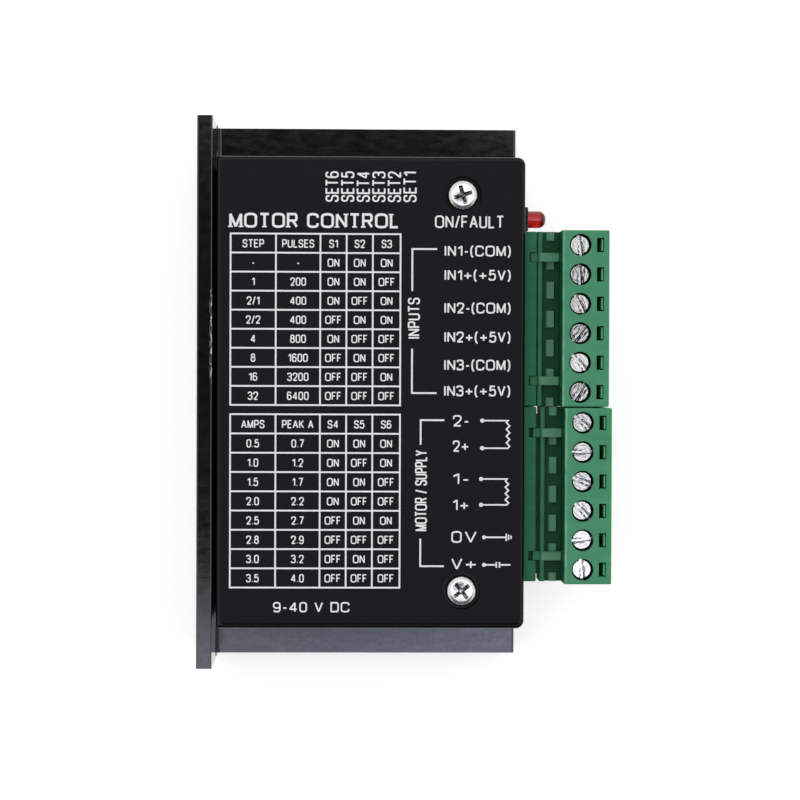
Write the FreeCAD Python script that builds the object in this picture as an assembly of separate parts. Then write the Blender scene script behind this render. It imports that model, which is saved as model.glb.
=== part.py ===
import FreeCAD, Part
import math
import os

# A stepper driver module: an L-shaped finned heatsink carries a circuit board under a moulded
# cover, with two pluggable terminal blocks, a bank of six slide switches and one indicator lamp.
#
# The model is built in module coordinates, in millimetres: X runs from the outer face of the
# mounting flange towards the plugs, Y runs along the heatsink from its middle to the switch end,
# Z runs up from the tips of the fins. Every part is moved back by half of the overall depth when
# it is saved, so the finished frame has its origin in the middle of the base.

# ---------------------------------------------------------------- driving dimensions
LENGTH = 96.0                  # heatsink, along Y
DEPTH = 57.0                   # heatsink, along X
FLANGE_HEIGHT = 33.0
FLANGE_THICKNESS = 2.7
FIN_HEIGHT = 5.5
FIN_THICKNESS = 1.6
FIN_COUNT = 10
PLATE_TOP = 8.5
SLOT_SPACING = 88.0            # centre to centre of the two mounting slots
SLOT_WIDTH = 4.5
SLOT_Z = 16.5
PAST = 1.0                     # how far a cutter runs past the face that it opens

COVER_X0 = 3.4
COVER_HALF_LENGTH = 41.0
COVER_WALL = 1.5
COVER_TOP = 32.85
COVER_FRONT_ROUND = 1.4        # the upright corners beside the plugs
COVER_TOP_ROUND = 0.6
COVER_SCREW_X = 46.1
COVER_SCREW_Y = 34.4
RECESS_RADIUS = 3.25
RECESS_FLOOR = 31.55
BOSS_RADIUS = 4.5
BOSS_BOTTOM = 30.35
WINDOW_GAP = 0.15              # between the cover and what looks through its windows
LABEL_THICKNESS = 0.15
LABEL_MARGIN = 0.65
LABEL_CORNER = 0.8

PEG_X = COVER_X0 + COVER_WALL / 2      # two pegs under the cover's flange side locate it
PEG_Y = 25.0
PEG_RADIUS = 0.6
PEG_LENGTH = 2.0

BOARD_X0, BOARD_X1 = 5.6, 54.9
BOARD_HALF_LENGTH = 38.8
BOARD_BOTTOM, BOARD_TOP = 19.8, 21.4
LEG_BELOW_BOARD = 1.5          # how far soldered legs stick out under the board
STANDOFF_X = 10.5              # the pair of standoffs beside the flange
STANDOFF_FLATS = 5.0
STUD_DEPTH = 2.6               # of the tapped holes in the heatsink

M3_HOLE = 1.5                  # radii: threads are plain cylinders
M3_SHANK = 1.48
M3_CLEARANCE = 1.65
PAN_RADIUS, PAN_HEIGHT = 2.75, 1.9
CROSS_DEPTH = 1.3
CROSS_REACH = 1.7              # from a cross recess's middle to the end of an arm
CROSS_ARM = 0.36               # half width of an arm

POLES = 6
PITCH = 5.08
PLUG_CENTRES = {"signal": 13.0, "power": -17.7}
PLUG_GAPS = {"signal": 0.0, "power": 0.55}      # how far each plug stands off its home position
HEADER_X0, HEADER_X1 = 49.1, 59.3
HEADER_HALF = 15.3
HEADER_TOP = 29.9
CAVITY_X0 = 52.4
CAVITY_HALF = 14.2
CAVITY_Z0, CAVITY_Z1 = 22.4, 28.7
PIN_SIZE = 1.0
PIN_Z = 25.55
PIN_TIP = 58.3
PIN_BACK = 49.9
PIN_HOLE = 0.75                # radius
LATCH_Y = 10.8                 # latch tongues, either side of a plug's middle
LATCH_HALF = 0.75
LATCH_GAP = 0.1
LATCH_X0 = 58.2
POCKET_X0 = 57.95

PLUG_X0, PLUG_X1 = 63.2, 71.3  # the block that holds the screws, with the plug fully home
PLUG_HALF = 15.24
PLUG_BOTTOM, PLUG_TOP = 21.3, 36.5
PLUG_ROUND = 0.25
NOSE_X0 = 53.3
NOSE_HALF = 14.0
NOSE_BOTTOM, NOSE_TOP = 22.6, 28.4
RIM_X0, RIM_X1 = 59.42, 60.25
RIB_HALF = 1.45                # half length of a key rib, along Y
RIB_PROFILE = ((60.9, 0.0), (62.3, 0.0), (62.3, 0.75), (61.1, 0.35))      # X, height on the nose
SCREW_X = 66.28
SCREW_WELL = 1.9
HEAD_RADIUS = 1.75
HEAD_BOTTOM, HEAD_TOP = 32.7, 35.1
SCREW_SLOT_HALF, SCREW_SLOT_DEPTH = 0.33, 0.9
SHANK_RADIUS = 1.25
SCREW_END = 27.45
CAGE_LIFT = 2.5
CAGE_X, CAGE_Y = 2.0, 1.8      # half sizes
CAGE_BOTTOM, CAGE_TOP = 23.0, 28.8
CAGE_SIDE, CAGE_FLOOR, CAGE_ROOF = 0.55, 0.8, 1.4      # wall thicknesses
CAGE_GAP = 0.1
WIRE_HALF = 1.5                # half width of a wire entry
WIRE_Z0, WIRE_Z1 = 23.8, 27.3
FLARE, FLARE_DEPTH = 0.55, 0.7
TEST_SLOT_X0, TEST_SLOT_X1 = 69.1, 70.35
TEST_SLOT_HALF, TEST_SLOT_FLOOR = 1.25, 29.0
SLOT_RIB_X0, SLOT_RIB_X1 = 69.95, 70.2      # a rib that stands in the test slot
SLOT_RIB_HALF, SLOT_RIB_TOP = 1.0, 36.0
CONTACT_X0, CONTACT_X1 = 62.6, 68.2
CONTACT_Z0, CONTACT_Z1 = 26.7, 27.2      # the bar that a wire is clamped against
CONTACT_HALF = 1.0
WEB_HALF = 0.85
LEAF_Z0, LEAF_Z1 = 25.0, 26.1
LEAF_THICKNESS = 0.3
LEAF_GAP = 0.03                # between a leaf and the pin
POCKET_GAP = 0.1               # between a contact and the plug
RUNNING = 0.05                 # radial clearance of parts that turn or slide
SCREW_SLOT_ANGLES = (100, 94, 118, 52, 132, 58, 140, 2, 158, 134, 8, 96)
COVER_SCREW_ANGLES = (17, 38)
BOARD_SCREW_ANGLE = 25
CHIP_SCREW_ANGLE = 60

SWITCHES = 6
SWITCH_PITCH = 2.54
SWITCH_X = 30.1
SWITCH_HALF = 8.6
SWITCH_Y0, SWITCH_Y1 = 34.2, 40.4
SWITCH_TOP = 30.4
SWITCH_LEG_YS = (35.3, 37.7)
SWITCH_LEG_X, SWITCH_LEG_Y = 0.25, 0.13      # half sizes
SLIDER_TRAVEL = 1.8
SLIDER_Z = 25.0                # middle of a knob in its lower position
KNOB_X, KNOB_Z = 0.55, 0.65    # half sizes
KNOB_BACK, KNOB_TIP = 38.9, 40.9
CARRIER_X, CARRIER_Z = 0.9, 1.3
CARRIER_BACK = 37.05

LED_Y, LED_Z = 30.65, 25.0
LED_RADIUS = 1.5
LED_DOME = 1.25                # radius of the rounded tip's edge
LED_BACK, LED_TIP = 54.6, 61.1
COLLAR_LIP, COLLAR_LENGTH = 0.1, 1.0
LED_LEG_X = 52.85
LED_LEG_HALF = 0.25
LED_LEG_SPREAD = 1.27
HOLDER_X0, HOLDER_X1 = 51.8, 57.9
HOLDER_HALF = 2.05
HOLDER_TOP = 27.3
HOLDER_FIT = 0.02

CHIP_X0, CHIP_X1 = 16.5, 31.5
CHIP_HALF = 14.5
PAD_THICKNESS = 0.3
CHIP_BOTTOM = PLATE_TOP + PAD_THICKNESS
CHIP_TOP = CHIP_BOTTOM + 4.5
CHIP_SCREW_Y = 12.4
LEAD_COUNT = 25
LEAD_ROWS = (33.4, 35.9)
LEAD_X, LEAD_Y = 0.2, 0.25     # half sizes
LEAD_Z = 10.9
LEAD_END = 22.6
LEAD_HOLE = 0.42               # radius

CAPACITOR_PLACES = ((14.0, -24.5), (14.0, -15.0), (24.5, -26.0))
CAPACITOR_BASE, CAPACITOR_RADIUS = 4.1, 3.95
CAPACITOR_FOOT, CAPACITOR_HEIGHT = 1.2, 8.9
OPTOCOUPLER_X = 40.5
OPTOCOUPLER_YS = (4.0, 13.0, 22.0)
LOGIC_CHIP_PLACE = (24.0, 22.0)
LOGIC_CHIP_LEGS = 8
LEG_PITCH = 1.27
REGULATOR_PLACE = (14.0, 12.0)
SENSE_RESISTOR_X = 41.0
SENSE_RESISTOR_YS = (-27.0, -17.5, -12.5)

V = FreeCAD.Vector
UP = V(0, 0, 1)
ALONG_X = V(1, 0, 0)


# ---------------------------------------------------------------- helpers
def box(x0, x1, y0, y1, z0, z1):
    return Part.makeBox(x1 - x0, y1 - y0, z1 - z0, V(x0, y0, z0))


def block(x, y, half_x, half_y, z0, z1):
    return box(x - half_x, x + half_x, y - half_y, y + half_y, z0, z1)


def post(x, y, radius, z0, z1):
    return Part.makeCylinder(radius, z1 - z0, V(x, y, z0), UP)


def rod_x(y, z, radius, x0, x1):
    return Part.makeCylinder(radius, x1 - x0, V(x0, y, z), ALONG_X)


def join(shapes):
    return shapes[0].multiFuse(shapes[1:]).removeSplitter()


def rounded(shape, radius, wanted):
    """Round the edges for which wanted(edge's box) is true."""
    edges = [edge for edge in shape.Edges if wanted(edge.BoundBox)]
    return shape.makeFillet(radius, edges) if edges else shape


def at(value, target):
    return abs(value - target) < 1e-4


def upright(b):
    return b.XLength < 1e-4 and b.YLength < 1e-4


def hexagon(x, y, flats, z0, z1):
    reach = flats / math.sqrt(3)
    corners = [V(x + reach * math.cos(math.radians(60 * k)),
                 y + reach * math.sin(math.radians(60 * k)), z0) for k in range(7)]
    return Part.Face(Part.makePolygon(corners)).extrude(V(0, 0, z1 - z0))


def turned(shape, x, y, angle):
    return shape.rotated(V(x, y, 0), UP, angle)


def save(name, shapes, shift=0.0):
    """Write one node, moved by shift along X and then into the finished frame."""
    overall = PLUG_X1 + max(PLUG_GAPS.values())
    shape = shapes[0] if len(shapes) == 1 else Part.makeCompound(shapes)
    placed = shape.translated(V(shift - overall / 2, 0, 0))
    placed.exportStep(os.path.join("parts", name + ".step"))


def pole_ys(centre):
    return [centre + (POLES - 1) * PITCH / 2 - k * PITCH for k in range(POLES)]


def latch_ys(centre):
    return [centre - LATCH_Y, centre + LATCH_Y]


def switch_xs():
    return [SWITCH_X + ((SWITCHES - 1) / 2 - k) * SWITCH_PITCH for k in range(SWITCHES)]


def cover_screw_places():
    return [(COVER_SCREW_X, COVER_SCREW_Y), (COVER_SCREW_X, -COVER_SCREW_Y)]


def standoff_places():
    return cover_screw_places() + [(STANDOFF_X, COVER_SCREW_Y), (STANDOFF_X, -COVER_SCREW_Y)]


def chip_screw_places():
    middle = (CHIP_X0 + CHIP_X1) / 2
    return [(middle, CHIP_SCREW_Y), (middle, -CHIP_SCREW_Y)]


# ---------------------------------------------------------------- heatsink
def mounting_slot(side):
    """Cutter for one mounting slot, open at the flange's end."""
    y = side * SLOT_SPACING / 2
    end = side * (LENGTH / 2 + PAST)
    half = SLOT_WIDTH / 2
    x0, x1 = -PAST, FLANGE_THICKNESS + PAST
    mouth = box(x0, x1, min(y, end), max(y, end), SLOT_Z - half, SLOT_Z + half)
    return mouth.fuse(rod_x(y, SLOT_Z, half, x0, x1))


def heatsink():
    half = LENGTH / 2
    plate = box(0, DEPTH, -half, half, FIN_HEIGHT, PLATE_TOP)
    flange = box(0, FLANGE_THICKNESS, -half, half, 0, FLANGE_HEIGHT)
    step = (DEPTH - FIN_THICKNESS) / FIN_COUNT
    fins = [box(step * k, step * k + FIN_THICKNESS, -half, half, 0, FIN_HEIGHT)
            for k in range(1, FIN_COUNT + 1)]
    body = join([plate, flange] + fins)
    body = rounded(body, 0.35, lambda b: at(b.YLength, LENGTH) and at(b.ZMax, 0))
    body = rounded(body, 0.25, lambda b: at(b.YLength, LENGTH) and at(b.ZMin, FLANGE_HEIGHT))
    body = rounded(body, 0.4, lambda b: at(b.YLength, LENGTH) and at(b.ZMin, PLATE_TOP))
    cutters = [mounting_slot(side) for side in (-1, 1)]
    cutters += [post(x, y, M3_HOLE, PLATE_TOP - STUD_DEPTH, PLATE_TOP + PAST)
                for x, y in standoff_places() + chip_screw_places()]
    cutters += [post(PEG_X, side * PEG_Y, PEG_RADIUS + RUNNING, PLATE_TOP - PEG_LENGTH - 0.2,
                     PLATE_TOP + PAST) for side in (-1, 1)]
    return body.cut(cutters)


# ---------------------------------------------------------------- cover, label and their screws
def connector_window():
    x0, x1 = DEPTH - COVER_WALL - PAST, DEPTH + PAST
    y0 = PLUG_CENTRES["power"] - HEADER_HALF - WINDOW_GAP
    y1 = LED_Y + HOLDER_HALF + WINDOW_GAP
    beside_header = PLUG_CENTRES["signal"] + HEADER_HALF + WINDOW_GAP
    z0 = BOARD_TOP - WINDOW_GAP
    tall = box(x0, x1, y0, beside_header, z0, HEADER_TOP + WINDOW_GAP)
    lamp = box(x0, x1, beside_header - PAST, y1, z0, HOLDER_TOP + WINDOW_GAP)
    return tall.fuse(lamp)


def switch_window():
    return block(SWITCH_X, COVER_HALF_LENGTH, SWITCH_HALF + WINDOW_GAP, COVER_WALL + PAST,
                 BOARD_TOP - WINDOW_GAP, SWITCH_TOP + WINDOW_GAP)


def cover():
    outer = box(COVER_X0, DEPTH, -COVER_HALF_LENGTH, COVER_HALF_LENGTH, PLATE_TOP, COVER_TOP)
    outer = rounded(outer, COVER_FRONT_ROUND, lambda b: upright(b) and at(b.XMax, DEPTH))
    outer = rounded(outer, 0.5, lambda b: upright(b) and at(b.XMax, COVER_X0))
    outer = rounded(outer, COVER_TOP_ROUND, lambda b: at(b.ZMin, COVER_TOP))
    inner = box(COVER_X0 + COVER_WALL, DEPTH - COVER_WALL, COVER_WALL - COVER_HALF_LENGTH,
                COVER_HALF_LENGTH - COVER_WALL, PLATE_TOP - PAST, COVER_TOP - COVER_WALL)
    shell = outer.cut(inner)
    bosses = [post(x, y, BOSS_RADIUS, BOSS_BOTTOM, COVER_TOP - COVER_WALL / 2)
              for x, y in cover_screw_places()]
    pegs = [post(PEG_X, side * PEG_Y, PEG_RADIUS, PLATE_TOP - PEG_LENGTH, PLATE_TOP + PAST)
            for side in (-1, 1)]
    shell = join([shell] + bosses + pegs)
    cutters = [connector_window(), switch_window()]
    for x, y in cover_screw_places():
        cutters.append(post(x, y, RECESS_RADIUS, RECESS_FLOOR, COVER_TOP + PAST))
        cutters.append(post(x, y, M3_CLEARANCE, BOSS_BOTTOM - PAST, COVER_TOP))
    return shell.cut(cutters)


def label():
    half = COVER_HALF_LENGTH - LABEL_MARGIN
    sheet = box(COVER_X0 + LABEL_MARGIN, DEPTH - LABEL_MARGIN, -half, half,
                COVER_TOP, COVER_TOP + LABEL_THICKNESS)
    sheet = rounded(sheet, LABEL_CORNER, upright)
    return sheet.cut([post(x, y, RECESS_RADIUS, COVER_TOP - PAST, COVER_TOP + PAST)
                      for x, y in cover_screw_places()])


def pan_screw(x, y, seat, length, angle):
    """Cross-recessed pan-head screw, pointing down from its seat."""
    top = seat + PAN_HEIGHT
    head = rounded(post(x, y, PAN_RADIUS, seat, top), PAN_HEIGHT / 2, lambda b: at(b.ZMin, top))
    arms = join([block(x, y, CROSS_REACH, CROSS_ARM, top - CROSS_DEPTH, top + PAST),
                 block(x, y, CROSS_ARM, CROSS_REACH, top - CROSS_DEPTH, top + PAST)])
    cone = Part.makeCone(CROSS_ARM, CROSS_REACH, CROSS_DEPTH, V(x, y, top - CROSS_DEPTH), UP)
    cross = turned(arms.common(cone), x, y, angle)
    shank = rounded(post(x, y, M3_SHANK, seat - length, seat), 0.4,
                    lambda b: at(b.ZMax, seat - length))
    return join([head, shank]).cut(cross)


# ---------------------------------------------------------------- board and what stands on it
def header_pins(centre):
    half = PIN_SIZE / 2
    pins = []
    for y in pole_ys(centre):
        bar = box(PIN_BACK, PIN_TIP, y - half, y + half, PIN_Z - half, PIN_Z + half)
        tail = block(PIN_BACK + half, y, half, half, BOARD_BOTTOM - LEG_BELOW_BOARD, PIN_Z)
        pins.append(join([bar, tail]))
    return pins


def header(centre):
    """Right-angle header, open towards the plugs, with a pocket for each latch tongue."""
    shell = box(HEADER_X0, HEADER_X1, centre - HEADER_HALF, centre + HEADER_HALF,
                BOARD_TOP, HEADER_TOP)
    shell = rounded(shell, PLUG_ROUND, lambda b: at(b.ZMin, HEADER_TOP) or at(b.XMin, HEADER_X1))
    cavity = box(CAVITY_X0, HEADER_X1 + PAST, centre - CAVITY_HALF, centre + CAVITY_HALF,
                 CAVITY_Z0, CAVITY_Z1)
    half = LATCH_HALF + LATCH_GAP
    pockets = [box(POCKET_X0, HEADER_X1 + PAST, y - half, y + half, CAVITY_Z1 - LATCH_GAP,
                   HEADER_TOP + PAST) for y in latch_ys(centre)]
    return shell.cut([cavity] + pockets + header_pins(centre))


def board():
    sheet = box(BOARD_X0, BOARD_X1, -BOARD_HALF_LENGTH, BOARD_HALF_LENGTH, BOARD_BOTTOM, BOARD_TOP)
    holes = [(x, y, M3_CLEARANCE) for x, y in standoff_places()]
    for centre in PLUG_CENTRES.values():
        holes += [(PIN_BACK + PIN_SIZE / 2, y, PIN_HOLE) for y in pole_ys(centre)]
    small = chip_lead_places() + [(x, y) for x in switch_xs() for y in SWITCH_LEG_YS]
    small += [(LED_LEG_X, y) for y in led_leg_ys()]
    holes += [(x, y, LEAD_HOLE) for x, y in small]
    return sheet.cut([post(x, y, r, BOARD_BOTTOM - PAST, BOARD_TOP + PAST) for x, y, r in holes])


def lower_standoff(x, y):
    body = hexagon(x, y, STANDOFF_FLATS, PLATE_TOP, BOARD_BOTTOM)
    stud = post(x, y, M3_SHANK, PLATE_TOP - STUD_DEPTH + 0.1, PLATE_TOP)
    return join([body, stud]).cut(post(x, y, M3_HOLE, BOARD_BOTTOM - 7, BOARD_BOTTOM + PAST))


def upper_standoff(x, y):
    body = hexagon(x, y, STANDOFF_FLATS, BOARD_TOP, BOSS_BOTTOM)
    stud = post(x, y, M3_SHANK, BOARD_BOTTOM - 5, BOARD_TOP)
    return join([body, stud]).cut(post(x, y, M3_HOLE, BOSS_BOTTOM - 7.5, BOSS_BOTTOM + PAST))


# ---------------------------------------------------------------- plugs
def plug_contact(y):
    """Contact of one pole: a bar in the clamp, stepped down to two leaves round the pin."""
    web_x1 = CONTACT_X0 + CONTACT_Z1 - CONTACT_Z0
    bar = box(CONTACT_X0, CONTACT_X1, y - CONTACT_HALF, y + CONTACT_HALF, CONTACT_Z0, CONTACT_Z1)
    web = box(CONTACT_X0, web_x1, y - WEB_HALF, y + WEB_HALF, LEAF_Z0, CONTACT_Z0)
    inner = PIN_SIZE / 2 + LEAF_GAP
    middle = inner + LEAF_THICKNESS / 2
    length = CONTACT_X0 - NOSE_X0 - 0.7
    leaves = [block(CONTACT_X0 - length / 2, y + side * middle, length / 2, LEAF_THICKNESS / 2,
                    LEAF_Z0, LEAF_Z1) for side in (-1, 1)]
    return join([bar, web] + leaves)


def key_rib(y0, y1):
    """Low wedge on the nose between two poles, highest beside the block."""
    points = [V(x, y0, NOSE_TOP + rise) for x, rise in RIB_PROFILE]
    return Part.Face(Part.makePolygon(points + points[:1])).extrude(V(0, y1 - y0, 0))


def plug_body(centre):
    y0, y1 = centre - HEADER_HALF, centre + HEADER_HALF
    screw_block = block((PLUG_X0 + PLUG_X1) / 2, centre, (PLUG_X1 - PLUG_X0) / 2, PLUG_HALF,
                        PLUG_BOTTOM, PLUG_TOP)
    screw_block = rounded(screw_block, PLUG_ROUND,
                          lambda b: at(b.ZMin, PLUG_TOP) or at(b.XMin, PLUG_X1))
    nose = box(NOSE_X0, PLUG_X0, centre - NOSE_HALF, centre + NOSE_HALF, NOSE_BOTTOM, NOSE_TOP)
    rim = rounded(box(RIM_X0, RIM_X1, y0, y1, NOSE_BOTTOM, HEADER_TOP), 0.2,
                  lambda b: at(b.ZMin, HEADER_TOP))
    neck = box(RIM_X1, PLUG_X0, y0, y1, NOSE_BOTTOM, NOSE_TOP)
    ribs = []
    for k in range(POLES + 1):
        y = centre + (POLES / 2 - k) * PITCH
        ribs.append(key_rib(max(y - RIB_HALF, y0), min(y + RIB_HALF, y1)))
    tongues = []
    for y in latch_ys(centre):
        tongues.append(box(LATCH_X0, PLUG_X0, y - LATCH_HALF, y + LATCH_HALF,
                           NOSE_TOP, HEADER_TOP - 0.35))
        tongues.append(box(RIM_X0 + 0.25, PLUG_X0, y - LATCH_HALF, y + LATCH_HALF,
                           HEADER_TOP - 0.35, HEADER_TOP + 0.5))
    body = join([screw_block, nose, rim, neck] + ribs + tongues)
    return body.cut([cutter for y in pole_ys(centre) for cutter in pole_cutters(y)])


def pole_cutters(y):
    """What one pole takes out of a plug: well, shank hole, clamp chamber, wire and test entries."""
    chamber_top = CAGE_TOP + CAGE_LIFT + CAGE_GAP
    contact_half = CONTACT_HALF + RUNNING
    web_half = WEB_HALF + POCKET_GAP
    mouth = PIN_SIZE / 2 + 0.08
    return [
        post(SCREW_X, y, SCREW_WELL, HEAD_BOTTOM - 0.02, PLUG_TOP + PAST),
        post(SCREW_X, y, SHANK_RADIUS + RUNNING, chamber_top - 0.5, PLUG_TOP),
        block(SCREW_X, y, CAGE_X + CAGE_GAP, CAGE_Y + CAGE_GAP, CAGE_BOTTOM - CAGE_GAP, chamber_top),
        box(SCREW_X, PLUG_X1 + PAST, y - WIRE_HALF, y + WIRE_HALF, WIRE_Z0, WIRE_Z1),
        wire_funnel(y),
        test_slot(y),
        box(CONTACT_X0 - POCKET_GAP, SCREW_X, y - contact_half, y + contact_half,
            CONTACT_Z0 - POCKET_GAP, CONTACT_Z1 + RUNNING),
        box(CONTACT_X0 - POCKET_GAP, CONTACT_X0 + 0.6, y - web_half, y + web_half,
            LEAF_Z0 - POCKET_GAP, CONTACT_Z0),
        box(NOSE_X0 + 0.6, CONTACT_X0, y - web_half, y + web_half,
            LEAF_Z0 - POCKET_GAP, LEAF_Z1 + POCKET_GAP),
        box(NOSE_X0 - PAST, NOSE_X0 + PAST, y - mouth, y + mouth, PIN_Z - mouth, PIN_Z + mouth),
    ]


def test_slot(y):
    """Slot down to the clamp for a meter's probe, with a thin rib left standing in it."""
    slot = box(TEST_SLOT_X0, TEST_SLOT_X1, y - TEST_SLOT_HALF, y + TEST_SLOT_HALF,
               TEST_SLOT_FLOOR, PLUG_TOP + PAST)
    rib = box(SLOT_RIB_X0, SLOT_RIB_X1, y - SLOT_RIB_HALF, y + SLOT_RIB_HALF,
              TEST_SLOT_FLOOR - PAST, SLOT_RIB_TOP)
    return slot.cut(rib)


def wire_funnel(y):
    """Flared mouth of a wire entry."""
    def outline(x, grow):
        z0, z1, h = WIRE_Z0 - grow, WIRE_Z1 + grow, WIRE_HALF + grow
        corners = [V(x, y - h, z0), V(x, y + h, z0), V(x, y + h, z1), V(x, y - h, z1)]
        return Part.makePolygon(corners + corners[:1])
    return Part.makeLoft([outline(PLUG_X1 - FLARE_DEPTH, 0.0), outline(PLUG_X1 + 0.01, FLARE)], True)


def terminal_screw(y, angle):
    head = rounded(post(SCREW_X, y, HEAD_RADIUS, HEAD_BOTTOM, HEAD_TOP), 0.25,
                   lambda b: at(b.ZMin, HEAD_TOP))
    shank = rounded(post(SCREW_X, y, SHANK_RADIUS, SCREW_END, HEAD_BOTTOM), 0.25,
                    lambda b: at(b.ZMax, SCREW_END))
    slot = block(SCREW_X, y, HEAD_RADIUS + PAST, SCREW_SLOT_HALF,
                 HEAD_TOP - SCREW_SLOT_DEPTH, HEAD_TOP + PAST)
    return join([head, shank]).cut(turned(slot, SCREW_X, y, angle))


def clamp_cage(y):
    """Box nut: the screw turns in its top and draws it up, a wire goes through its window."""
    body = block(SCREW_X, y, CAGE_X, CAGE_Y, CAGE_BOTTOM, CAGE_TOP)
    body = rounded(body, 0.3, lambda b: at(b.XLength, 2 * CAGE_X))
    window = block(SCREW_X, y, CAGE_X + PAST, CAGE_Y - CAGE_SIDE,
                   CAGE_BOTTOM + CAGE_FLOOR, CAGE_TOP - CAGE_ROOF)
    hole = post(SCREW_X, y, SHANK_RADIUS + RUNNING, CAGE_TOP - CAGE_ROOF - PAST, CAGE_TOP + PAST)
    return body.cut([window, hole])


# ---------------------------------------------------------------- switch bank
def switch_body():
    body = box(SWITCH_X - SWITCH_HALF, SWITCH_X + SWITCH_HALF, SWITCH_Y0, SWITCH_Y1,
               BOARD_TOP, SWITCH_TOP)
    body = rounded(body, 0.25, lambda b: at(b.YMin, SWITCH_Y1))
    middle = SLIDER_Z + SLIDER_TRAVEL / 2
    slot = KNOB_Z + SLIDER_TRAVEL / 2 + RUNNING
    room = CARRIER_Z + SLIDER_TRAVEL / 2 + RUNNING
    cutters = []
    for x in switch_xs():
        cutters.append(box(x - KNOB_X - RUNNING, x + KNOB_X + RUNNING, KNOB_BACK - PAST,
                           SWITCH_Y1 + PAST, middle - slot, middle + slot))
        cutters.append(box(x - CARRIER_X - RUNNING, x + CARRIER_X + RUNNING,
                           CARRIER_BACK - RUNNING, KNOB_BACK + RUNNING, middle - room, middle + room))
    return body.cut(cutters)


def switch_slider(x):
    """Knob on a wider carrier that the body's front holds in."""
    knob = box(x - KNOB_X, x + KNOB_X, KNOB_BACK, KNOB_TIP, SLIDER_Z - KNOB_Z, SLIDER_Z + KNOB_Z)
    knob = rounded(knob, 0.12, lambda b: at(b.YMin, KNOB_TIP))
    carrier = box(x - CARRIER_X, x + CARRIER_X, CARRIER_BACK, KNOB_BACK,
                  SLIDER_Z - CARRIER_Z, SLIDER_Z + CARRIER_Z)
    return join([knob, carrier])


def switch_terminals():
    return [block(x, y, SWITCH_LEG_X, SWITCH_LEG_Y, BOARD_BOTTOM - LEG_BELOW_BOARD, BOARD_TOP)
            for x in switch_xs() for y in SWITCH_LEG_YS]


# ---------------------------------------------------------------- indicator lamp
def led_leg_ys():
    return [LED_Y - LED_LEG_SPREAD, LED_Y + LED_LEG_SPREAD]


def led_lens():
    lens = rounded(rod_x(LED_Y, LED_Z, LED_RADIUS, LED_BACK, LED_TIP), LED_DOME,
                   lambda b: at(b.XMin, LED_TIP))
    collar = rod_x(LED_Y, LED_Z, LED_RADIUS + COLLAR_LIP, LED_BACK, LED_BACK + COLLAR_LENGTH)
    return join([lens, collar])


def led_leads():
    leads = []
    for y in led_leg_ys():
        bar = box(LED_LEG_X - LED_LEG_HALF, LED_BACK, y - LED_LEG_HALF, y + LED_LEG_HALF,
                  LED_Z - LED_LEG_HALF, LED_Z + LED_LEG_HALF)
        leg = block(LED_LEG_X, y, LED_LEG_HALF, LED_LEG_HALF, BOARD_BOTTOM - LEG_BELOW_BOARD, LED_Z)
        leads.append(join([bar, leg]))
    return leads


def led_holder():
    body = box(HOLDER_X0, HOLDER_X1, LED_Y - HOLDER_HALF, LED_Y + HOLDER_HALF,
               BOARD_TOP, HOLDER_TOP)
    body = rounded(body, 0.3, lambda b: at(b.ZMin, HOLDER_TOP) and at(b.XMin, HOLDER_X1))
    bore = rod_x(LED_Y, LED_Z, LED_RADIUS + HOLDER_FIT, LED_BACK, HOLDER_X1 + PAST)
    collar = rod_x(LED_Y, LED_Z, LED_RADIUS + COLLAR_LIP + HOLDER_FIT, LED_BACK,
                   LED_BACK + COLLAR_LENGTH + HOLDER_FIT)
    return body.cut([bore, collar] + led_leads())


# ---------------------------------------------------------------- power chip on the heatsink
def chip_lead_places():
    middle = (LEAD_COUNT - 1) / 2
    return [(LEAD_ROWS[k % 2], float(k - middle)) for k in range(LEAD_COUNT)]


def chip_leads():
    leads = []
    for x, y in chip_lead_places():
        foot = box(CHIP_X1, x + LEAD_X, y - LEAD_Y, y + LEAD_Y, LEAD_Z - LEAD_X, LEAD_Z + LEAD_X)
        rise = block(x, y, LEAD_X, LEAD_Y, LEAD_Z - LEAD_X, LEAD_END)
        leads.append(join([foot, rise]))
    return leads


def driver_chip():
    body = box(CHIP_X0, CHIP_X1, -CHIP_HALF, CHIP_HALF, CHIP_BOTTOM, CHIP_TOP)
    body = rounded(body, 0.4, lambda b: at(b.ZMin, CHIP_TOP))
    return body.cut([post(x, y, M3_CLEARANCE, PLATE_TOP, CHIP_TOP + PAST)
                     for x, y in chip_screw_places()])


def thermal_pad():
    sheet = box(CHIP_X0, CHIP_X1, -CHIP_HALF, CHIP_HALF, PLATE_TOP, CHIP_BOTTOM)
    return sheet.cut([post(x, y, M3_CLEARANCE, PLATE_TOP - PAST, CHIP_TOP)
                      for x, y in chip_screw_places()])


# ---------------------------------------------------------------- small parts on the board
def capacitor(x, y):
    foot = BOARD_TOP + CAPACITOR_FOOT
    top = BOARD_TOP + CAPACITOR_HEIGHT
    base = rounded(block(x, y, CAPACITOR_BASE, CAPACITOR_BASE, BOARD_TOP, foot), 1.0,
                   lambda b: upright(b) and b.XMax > x)
    can = rounded(post(x, y, CAPACITOR_RADIUS, foot, top), 0.5, lambda b: at(b.ZMin, top))
    return join([base, can])


def chip_package(x, y, half_x, half_y, height, leg_ys, reach):
    """Surface-mounted package with gull-wing legs along both X sides."""
    body = rounded(block(x, y, half_x, half_y, BOARD_TOP + 0.1, BOARD_TOP + height), 0.2,
                   lambda b: at(b.ZMin, BOARD_TOP + height))
    legs = []
    for side in (-1, 1):
        for leg_y in leg_ys:
            inner = x + side * (half_x - 0.3)
            outer = x + side * (half_x + reach)
            legs.append(box(min(inner, outer), max(inner, outer), y + leg_y - 0.2,
                            y + leg_y + 0.2, BOARD_TOP, BOARD_TOP + 0.5))
    return join([body] + legs)


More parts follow.
